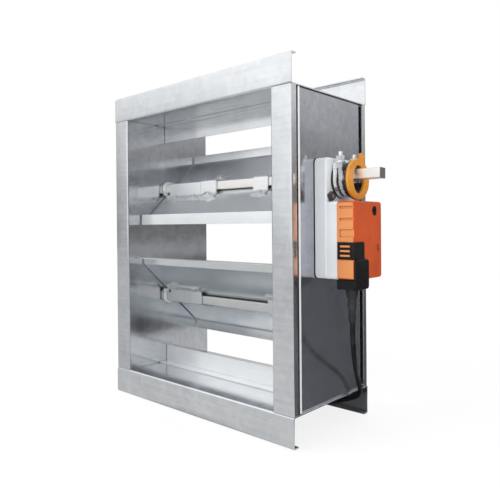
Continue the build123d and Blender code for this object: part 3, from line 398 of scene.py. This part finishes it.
LOOKS = {
    "sheet": galvanised("galvanised_sheet_look", (0.61, 0.63, 0.65), (0.83, 0.85, 0.87), 0.15),
    # darker copy of the sheet for the left frame: painted shade
    "left": galvanised("shaded_left_frame_look", (0.54, 0.56, 0.59), (0.77, 0.79, 0.82), 0.13,
                       metal=1.0),
    "sill": galvanised("sill_look", (0.80, 0.82, 0.83), (0.92, 0.93, 0.94), 0.20, metal=0.70),
    "low_blade": galvanised("lower_blade_look", (0.74, 0.77, 0.78), (0.84, 0.86, 0.87), 0.20,
                            0.14, 0.95),
    "blade": galvanised("galvanised_blade_look", (0.80, 0.82, 0.84), (0.90, 0.92, 0.93), 0.20,
                        0.14, 0.82),
    "cover": galvanised("galvanised_cover_look", (0.38, 0.39, 0.43), (0.60, 0.62, 0.66), 0.13,
                        0.12, 0.90),
    # near-white and barely metal: painted highlight on a bead along the cover's front fold
    "hem": zinc("hem_highlight_look", (0.92, 0.93, 0.94), (0.98, 0.98, 0.98), 0.34, UPRIGHT, 0.35,
                (0.8, 0.8, 0.8)),
    # drive shaft: a dark outline painted on all its arrises, painted shade
    "bar": zinc("zinc_bar_look", (0.86, 0.85, 0.83), (0.96, 0.95, 0.93), 0.34, ACROSS,
                rim=(0.20, 0.15, 0.13), rim_wide=0.0013, rim_share=0.9, sheared=(0.40, 0.37, 0.36)),
    "plate": zinc("zinc_plate_look", (0.84, 0.86, 0.87), (0.95, 0.96, 0.97), 0.36, ACROSS),
    # darker copies of the zinc looks for the lower blade's hardware: painted shade
    "shaded_bar": zinc("shaded_bar_look", (0.60, 0.61, 0.61), (0.72, 0.73, 0.73), 0.34, ACROSS),
    "shaded_plate": zinc("shaded_plate_look", (0.62, 0.64, 0.65), (0.74, 0.76, 0.77), 0.36, ACROSS),
    # bolts: the colour after the metal share is near-black painted shade in crevices
    "bolt": zinc("zinc_bolt_look", (0.84, 0.86, 0.88), (0.97, 0.98, 0.98), 0.15, UPRIGHT, 0.80,
                 (0.02, 0.02, 0.02)),
    "black_steel": plastic("clamp_black_look", (0.028, 0.028, 0.030), 0.38, 0.12),
    "bush": plastic("bush_nylon_look", (0.74, 0.76, 0.76), 0.42),
    "gear": plastic("gear_nylon_look", (0.72, 0.70, 0.64), 0.45),
    # grey base and orange cover: their last colour is painted light and shade on faces square to Y
    "grey": plastic("housing_grey_look", (0.84, 0.86, 0.87), 0.46, 0.10, (1.08, 0.3), 0.0006,
                    (0.79, 0.81, 0.83)),
    "orange": plastic("cover_orange_look", (0.56, 0.076, 0.010), 0.44, 0.10, (1.15, 0.35), 0.0006,
                      (0.72, 0.28, 0.095), 0.34),
    "yellow": plastic("ring_yellow_look", (0.73, 0.29, 0.030), 0.28, 0.06, (1.15, 0.3)),
    "black": plastic("button_black_look", (0.007, 0.006, 0.007), 0.42, 0.10, (1.8, 0.5),
                     gloss=0.25),
    # gland: strong painted highlights on its edges make its ribs show
    "gland": plastic("gland_black_look", (0.016, 0.016, 0.018), 0.32, 0.08, (3.5, 0.8)),
    "board": circuit_board_look("board_green_look"),
    "cable": cable_sheath("cable_black_look"),
    "shade_strip": matt_shade_black("painted_shade_look"),
    "wire_red": plastic("wire_red_look", (0.42, 0.018, 0.014), 0.40),
    "wire_black": plastic("wire_black_look", (0.012, 0.012, 0.013), 0.40),
    "wire_white": plastic("wire_white_look", (0.72, 0.72, 0.70), 0.42),
}

WORN_BY = {
    "sheet": ["right_side_channel", "top_channel", "bottom_channel", "top_blade_stop"],
    "left": ["left_side_channel"],
    "sill": ["bottom_blade_stop"],
    "cover": ["jamb_cover"],
    "blade": ["upper_blade"],
    "low_blade": ["lower_blade"],
    "bar": ["drive_shaft"],
    "plate": ["upper_left_strap", "upper_right_strap", "shaft_lock_saddle", "anti_rotation_bracket",
              "casing_rivets", "upper_strap_rivets", "end_stop_insert"],
    # the lower blade's hardware wears the darker copies: painted shade
    "shaded_bar": ["lower_shaft"],
    "shaded_plate": ["lower_left_strap", "lower_right_strap", "lower_strap_rivets"],
    "bolt": ["clamp_u_bolt", "clamp_jaw", "clamp_nuts", "shaft_lock_screws", "bracket_screw",
             "upper_idler_axle", "lower_idler_axle", "idler_clips", "actuator_motor",
             "clamp_bands"],
    "black_steel": ["spindle_hub", "end_stop_clip"],
    "bush": ["right_upper_bush", "left_upper_bush", "right_lower_bush", "left_lower_bush",
             "cover_bush"],
    "gear": ["drive_gear", "lower_gear", "upper_idler_gear", "lower_idler_gear"],
    "grey": ["actuator_base"],
    "orange": ["actuator_cover", "release_button_ribs"],
    "yellow": ["position_indicator"],
    "black": ["release_button", "connector_block", "direction_switch", "service_plug"],
    "gland": ["cable_gland"],
    "board": ["actuator_circuit_board"],
    "cable": ["power_cable", "cable_coil"],
}


def wear(piece, look):
    """Gives a piece one of the LOOKS in all its slots."""
    if not piece.material_slots:
        piece.data.materials.append(LOOKS[look])
    for held in piece.material_slots:
        held.material = LOOKS[look]


def smooth(node):
    """Smooth shading with crisp folds."""
    node.data.polygons.foreach_set("use_smooth", [True] * len(node.data.polygons))
    joined = node.modifiers.new("joined", "WELD")
    joined.merge_threshold = WELD
    crisp = node.modifiers.new("crisp", "EDGE_SPLIT")
    crisp.split_angle = SMOOTH_ANGLE


def dress_frame():
    """Materials and smooth shading of the CAD nodes."""
    for look, names in WORN_BY.items():
        for name in names:
            node = NODES[name]
            wear(node, look)
            smooth(node)


# ---- ways to make a piece ----

def skin(rings, count, closed=False):
    """Faces between rings of count points; closed joins the last ring to the first, and
    otherwise both ends are capped."""
    ends = [tuple(range(count)), tuple(range((rings - 1) * count, rings * count))]
    faces = [] if closed else ends
    for ring in range(rings if closed else rings - 1):
        here, there = ring * count, (ring + 1) % rings * count
        for step in range(count):
            after = (step + 1) % count
            faces.append((here + step, here + after, there + after, there + step))
    return faces


def mesh_piece(name, points, faces, look):
    """Mesh object with smooth faces and one material."""
    data = bpy.data.meshes.new(name)
    data.from_pydata(points, [], faces)
    data.polygons.foreach_set("use_smooth", [True] * len(data.polygons))
    made = bmesh.new()
    made.from_mesh(data)
    bmesh.ops.recalc_face_normals(made, faces=made.faces)
    made.to_mesh(data)
    made.free()
    piece = bpy.data.objects.new(name, data)
    bpy.context.collection.objects.link(piece)
    data.materials.append(LOOKS[look])
    return piece


def curve_piece(name, points, radius, look):
    """Round lead along a smooth spline with these control points."""
    data = bpy.data.curves.new(name, "CURVE")
    data.dimensions = "3D"
    data.bevel_depth = radius
    data.bevel_resolution = 5
    data.resolution_u = 6
    data.use_fill_caps = True
    line = data.splines.new("NURBS")
    line.points.add(len(points) - 1)
    for place, point in zip(line.points, points):
        place.co = (*point, 1.0)
    line.use_endpoint_u = True
    line.order_u = 3
    line.use_smooth = True
    piece = bpy.data.objects.new(name, data)
    bpy.context.collection.objects.link(piece)
    data.materials.append(LOOKS[look])
    return piece


# ---- painted shade and highlight at the side cover's front edge, painted shade behind the actuator ----

def upright_strip(name, profile, low, high, look):
    """Strip along Z with a profile of (X, Y) points; it rides on the casing."""
    points = [(x, y, z) for z in (low, high) for x, y in profile]
    strip = mesh_piece(name, points, skin(2, len(profile)), look)
    smooth(strip)
    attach(strip, "casing")
    return strip


def half_round(x, y, rise, half):
    """Profile of a bead on the plane x, about y."""
    arc = [math.pi * step / BEAD_STEPS for step in range(BEAD_STEPS + 1)]
    return [(x + rise * math.sin(turn), y + half * math.cos(turn)) for turn in arc]


def add_cover_edge():
    """Black strip of painted shade in the gap ahead of the side cover, and a pale hem bead of
    painted highlight on the cover's front fold.
    """
    low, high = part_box("jamb_cover")
    shade_strip = half_round(high[0] + SHADOW_LINE_SEAT, low[1] + SHADOW_LINE_AT, SHADOW_LINE_RISE, SHADOW_LINE_HALF)
    bottom, top = low[2] + SHADOW_LINE_INSET, high[2] - SHADOW_LINE_INSET
    upright_strip("cover_shadow_line", shade_strip, bottom, top, "shade_strip")
    hem = half_round(high[0], low[1] + HEM_AT, HEM_RISE, HEM_HALF)
    upright_strip("cover_hem", hem, low[2], high[2], "hem")


def rounded_outline(low, high, radius):
    """Outline of a rectangle with round corners, as (Y, Z) points."""
    outline = []
    corners = (high[0], high[1]), (low[0], high[1]), (low[0], low[1]), (high[0], low[1])
    for corner, (y, z) in enumerate(corners):
        inward_y = y - math.copysign(radius, y - (low[0] + high[0]) / 2)
        inward_z = z - math.copysign(radius, z - (low[1] + high[1]) / 2)
        for step in range(CORNER_STEPS + 1):
            turn = math.pi / 2 * (corner + step / CORNER_STEPS)
            outline.append((inward_y + radius * math.cos(turn), inward_z + radius * math.sin(turn)))
    return outline


def add_base_back_shadow():
    """Black ring of painted shade between the actuator's base and the side cover, a touch proud of
    the base.
    """
    low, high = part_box("actuator_base")
    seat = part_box("jamb_cover")[1][0]
    back, front = seat + BACK_SHADOW_SEAT, seat + BACK_SHADOW_THICK
    outer, inner = [
        rounded_outline((low[1] - out, low[2] - out), (high[1] + out, high[2] + out), radius)
        for out, radius in zip((BACK_SHADOW_PROUD, -BACK_SHADOW_WIDE), BACK_SHADOW_CORNERS)]
    loops = [(back, outer), (front, outer), (front, inner), (back, inner)]
    points = [(x, y, z) for x, outline in loops for y, z in outline]
    faces = skin(len(loops), len(outer), closed=True)
    back_shadow = mesh_piece("base_back_shadow", points, faces, "shade_strip")
    smooth(back_shadow)
    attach(back_shadow, "casing")


# ---- cable, its tie and its bare ends ----

def coil_point(turns):
    """Point of the coil after that many turns from where the cable joins it."""
    angle = math.pi / 2 + 2 * math.pi * turns
    x, y, z = COIL_AT
    return (x + COIL_R * math.cos(angle), y + COIL_R * math.sin(angle), z + 2 * CABLE_R * turns)


def bulged(value, power):
    """A sine or cosine raised to a power, with its sign kept."""
    return math.copysign(abs(value) ** power, value)


def coil_tie():
    """Flat strap round all the turns, with nearly square corners."""
    half_out = CABLE_R + TIE_SLACK[0] - TIE_THICK
    half_up = (COIL_TURNS + 1) * CABLE_R + TIE_SLACK[1] - TIE_THICK
    middle = COIL_AT[2] + COIL_TURNS * CABLE_R
    outward = Vector((math.cos(TIE_ANGLE), math.sin(TIE_ANGLE), 0.0))
    along = Vector((-outward.y, outward.x, 0.0))
    centre = Vector((COIL_AT[0], COIL_AT[1], middle)) + COIL_R * outward
    section = (0.0, -1), (0.0, 1), (TIE_THICK, 1), (TIE_THICK, -1)
    points = []
    for step in range(TIE_STEPS):
        turn = 2 * math.pi * step / TIE_STEPS
        for thick, side in section:
            out = bulged(math.cos(turn), TIE_SQUARENESS[0]) * (half_out + thick)
            up = bulged(math.sin(turn), TIE_SQUARENESS[1]) * (half_up + thick)
            points.append(centre + out * outward + Vector((0, 0, up)) + side * TIE_WIDE / 2 * along)
    return mesh_piece("coil_tie", points, skin(TIE_STEPS, len(section), closed=True), "black")


def ferrule(name, start, along):
    """Bare metal end sleeve: a collar, then a tapered tube closed at its tip."""
    side = along.cross(Vector((0, 0, 1))).normalized()
    up = side.cross(along)
    points = []
    for reach, radius in FERRULE_RINGS:
        for step in range(FERRULE_SIDES):
            turn = 2 * math.pi * step / FERRULE_SIDES
            outward = math.cos(turn) * side + math.sin(turn) * up
            points.append(start + reach * along + radius * outward)
    return mesh_piece(name, points, skin(len(FERRULE_RINGS), FERRULE_SIDES), "bolt")


def lead_ends():
    """Three wires with ferrules, at the end of the coil's last turn."""
    end = Vector(coil_point(COIL_TURNS))
    pieces = []
    for number, (place, look) in enumerate(WIRES, start=1):
        route = [end + Vector((x, apart * place + shared, 0.0)) for x, apart, shared in WIRE_POINTS]
        pieces.append(curve_piece(f"lead_wire_{number}", route, WIRE_R, look))
        before, tip = route[-2:]
        pieces.append(ferrule(f"wire_ferrule_{number}", tip, (tip - before).normalized()))
    return pieces


def add_cable():
    """The lead from the gland to its coil under the casing, with its tie and bare ends."""
    steps = COIL_TURNS * TURN_POINTS
    points = CABLE_ROUTE + [coil_point(step / TURN_POINTS) for step in range(steps + 1)]
    lead = curve_piece("power_lead", points, CABLE_R, "cable")
    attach(lead, "casing")
    on_lead = [coil_tie()] + lead_ends()
    for piece in on_lead:
        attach(piece, "casing")
    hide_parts("power_cable", "cable_coil")


# ---- camera and stage ----

def add_camera():
    """Camera at the viewing angle of the reference."""
    forward = Vector((-math.sin(CAMERA_YAW) * math.cos(CAMERA_PITCH),
                      math.cos(CAMERA_YAW) * math.cos(CAMERA_PITCH), math.sin(CAMERA_PITCH)))
    level = Vector((math.cos(CAMERA_YAW), math.sin(CAMERA_YAW), 0.0))
    upright = level.cross(forward)
    right = math.cos(CAMERA_ROLL) * level + math.sin(CAMERA_ROLL) * upright
    up = math.cos(CAMERA_ROLL) * upright - math.sin(CAMERA_ROLL) * level
    data = bpy.data.cameras.new("camera")
    data.lens = CAMERA_LENS
    data.shift_x, data.shift_y = CAMERA_SHIFT
    data.clip_start = 0.01
    camera = bpy.data.objects.new("camera", data)
    turned = Matrix((right, up, -forward)).transposed().to_4x4()
    camera.matrix_world = Matrix.Translation(CAMERA_AT) @ turned
    bpy.context.collection.objects.link(camera)
    bpy.context.scene.camera = camera


def add_lamp(name, place, target, size, power):
    """Soft square lamp that looks at a point and isn't seen in reflections."""
    data = bpy.data.lights.new(name, "AREA")
    data.size = size
    data.energy = power
    lamp = bpy.data.objects.new(name, data)
    lamp.location = place
    lamp.rotation_mode = "QUATERNION"
    lamp.rotation_quaternion = (Vector(target) - Vector(place)).to_track_quat("-Z", "Y")
    lamp.visible_glossy = False
    bpy.context.collection.objects.link(lamp)


def add_world():
    """White to the camera; metal sees a studio that brightens upwards and towards the front."""
    world = bpy.data.worlds.new("studio")
    bpy.context.scene.world = world
    world.use_nodes = True
    world.node_tree.nodes.clear()
    studio = Nodes(world.node_tree)
    direction = studio.node("TexCoord").outputs["Generated"]
    levels = []
    for slope, source, target in (STUDIO_FRONT, STUDIO_BACK):
        facing = studio.node("VectorMath", {0: direction, 1: slope}, operation="DOT_PRODUCT")
        levels.append(studio.remap(facing.outputs["Value"], source, target))
    rays = studio.node("LightPath").outputs
    ambient = studio.node("Background", {"Color": AMBIENT_TINT, "Strength": AMBIENT_LEVEL})
    bright = studio.math("MAXIMUM", *levels)
    mirrored = studio.node("Background", {"Color": WHITE, "Strength": bright})
    seen = studio.node("Background", {"Color": WHITE})
    clear = studio.math("MAXIMUM", rays["Is Camera Ray"], rays["Is Transmission Ray"])
    lit = studio.node("MixShader", {0: rays["Is Glossy Ray"], 1: ambient.outputs[0],
                                    2: mirrored.outputs[0]})
    final = studio.node("MixShader", {0: clear, 1: lit.outputs[0], 2: seen.outputs[0]})
    studio.node("OutputWorld", {"Surface": final.outputs[0]})


def flat_sheet(name, corner, opposite, height):
    """Single rectangle lying level."""
    data = bpy.data.meshes.new(name)
    (x0, y0), (x1, y1) = corner, opposite
    points = [(x, y, height) for x, y in ((x0, y0), (x1, y0), (x1, y1), (x0, y1))]
    data.from_pydata(points, [], [(0, 1, 2, 3)])
    sheet = bpy.data.objects.new(name, data)
    bpy.context.collection.objects.link(sheet)
    return sheet


def matt(name, colour):
    """Look of a matt stage piece."""
    look = Look(name)
    look.set(base_color=colour, roughness=0.9, specular=0.1)
    return look


def add_floor():
    """Pale floor that fades into the white background and keeps a soft shadow; in reflections
    it glows, with a painted shadow under the casing."""
    floor = flat_sheet("floor", (-FLOOR_HALF, -FLOOR_HALF), (FLOOR_HALF, FLOOR_HALF), FLOOR_Z)
    look = matt("floor_look", FLOOR_GREY)
    rays = look.node("LightPath").outputs
    distance = look.node("VectorMath", {0: look.coords}, operation="LENGTH").outputs["Value"]
    fade = look.remap(distance, FLOOR_REACH, (FLOOR_FADE, 1.0))
    white = look.node("Emission", {"Color": WHITE, "Strength": 1.0})
    # in reflections the floor glows grey, darker under the casing: painted shadow
    under = look.node("Mapping", {"Vector": look.coords, "Location": SHADE_AT,
                                  "Scale": SHADE_SCALE})
    within = look.node("VectorMath", {0: under.outputs["Vector"]}, operation="LENGTH")
    shade = look.remap(within.outputs["Value"], SHADE_REACH, FLOOR_IN_METAL)
    grey = look.node("Emission", {"Color": WHITE, "Strength": shade})
    faded = look.math("MULTIPLY", rays["Is Camera Ray"], fade)
    seen = look.node("MixShader", {0: faded, 1: look.shader.outputs[0], 2: white.outputs[0]})
    blend = look.node("MixShader", {0: rays["Is Glossy Ray"], 1: seen.outputs[0],
                                    2: grey.outputs[0]})
    look.put(look.tree.nodes["Material Output"].inputs["Surface"], blend.outputs[0])
    floor.data.materials.append(look.material)


def add_flag():
    """Dark studio flag behind the actuator side: only reflections see it."""
    flag = flat_sheet("flag", FLAG_CORNER, FLAG_OPPOSITE, FLAG_Z)
    flag.data.materials.append(matt("flag_look", FLAG_GREY).material)
    flag.visible_camera = False
    flag.visible_diffuse = False
    flag.visible_shadow = False


def add_stage():
    """World, floor, flag and lamps."""
    add_world()
    add_floor()
    add_flag()
    for lamp in LAMPS:
        add_lamp(*lamp)


# ---- the scene ----


add_camera()
add_cable()
add_cover_edge()
add_base_back_shadow()
dress_frame()
add_stage()
bpy.context.scene.view_settings.view_transform = "Standard"
